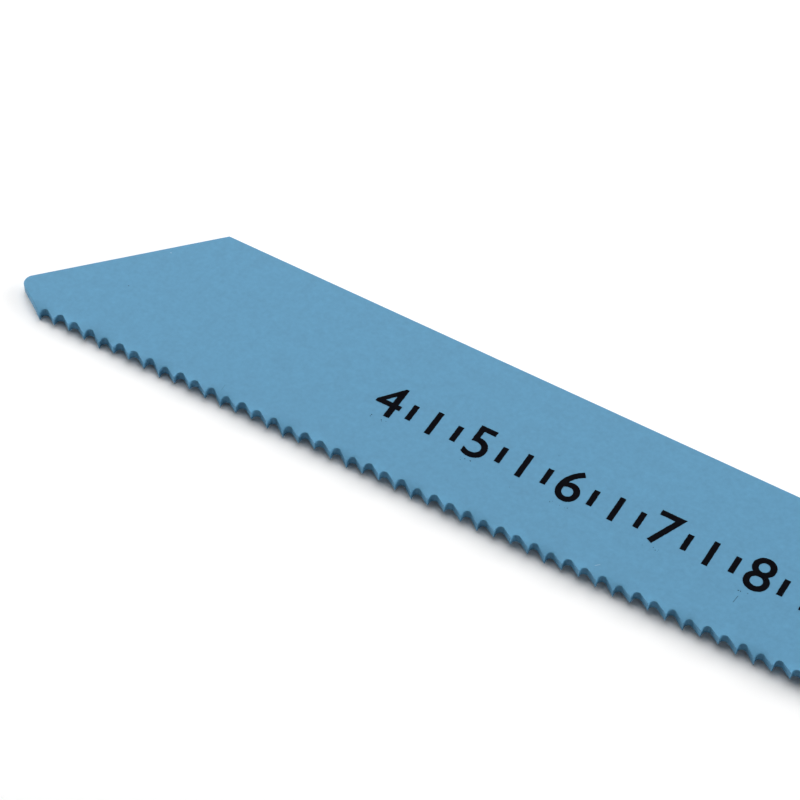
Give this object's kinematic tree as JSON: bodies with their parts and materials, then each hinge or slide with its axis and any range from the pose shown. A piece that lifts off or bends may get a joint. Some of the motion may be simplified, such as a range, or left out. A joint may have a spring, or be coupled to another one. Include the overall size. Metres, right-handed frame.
{
  "type": "reciprocating saw blade",
  "caption": "Flat steel reciprocating saw blade with a slanted nose, fine wavy-set teeth along the lower edge and a flat shank with a pin hole.",
  "frame": {"origin": "centre of the shank's pin hole, half way through the blade's thickness", "axes": "+X along the blade from the nose to the shank, +Y from the teeth to the back edge, +Z through the thickness, out of the printed face"},
  "size_m": [0.15, 0.0186, 0.0016],
  "materials": {
    "painted_steel": "satin light blue paint with black print"
  },
  "bodies": {
    "root": {"blade": "painted_steel"}
  },
  "joints": []
}
